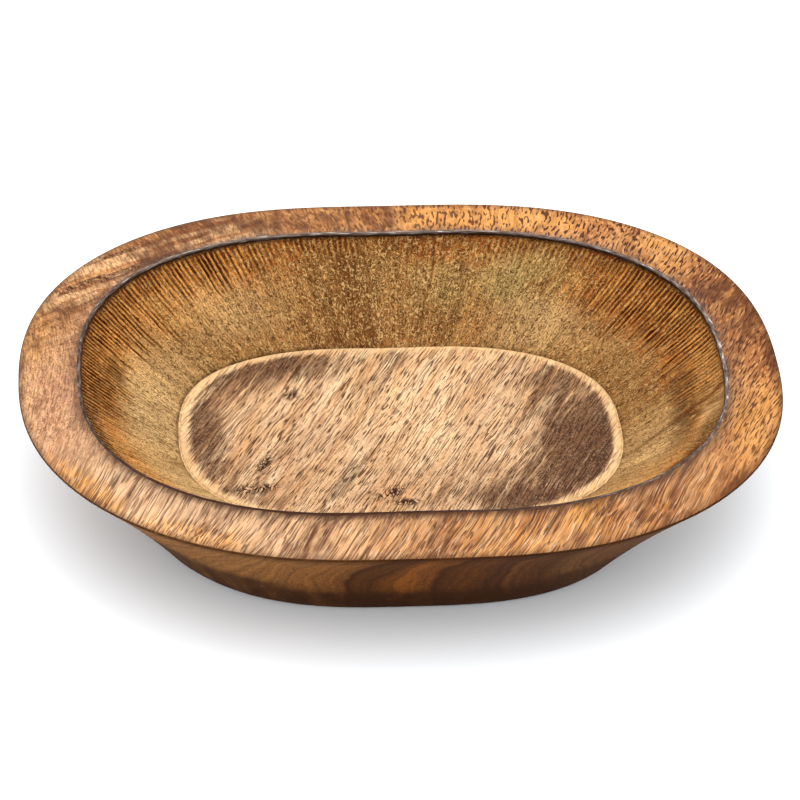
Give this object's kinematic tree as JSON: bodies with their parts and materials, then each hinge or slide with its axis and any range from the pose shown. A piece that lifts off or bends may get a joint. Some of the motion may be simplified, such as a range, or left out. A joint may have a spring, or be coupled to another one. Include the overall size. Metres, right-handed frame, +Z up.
{
  "type": "dough bowl",
  "caption": "Shallow oval wooden bowl with a broad flat rim, a rolled inner lip, sloping walls and a flat oval floor.",
  "frame": {"origin": "centre of the bowl's outline on the plane of its underside", "axes": "+X along the length, +Y towards the back, +Z up"},
  "size_m": [0.4, 0.3061, 0.07],
  "materials": {
    "oiled_wood": "hand-carved hardwood, oiled and rubbed to a low satin"
  },
  "bodies": {
    "root": {"bowl": "oiled_wood"}
  },
  "joints": []
}
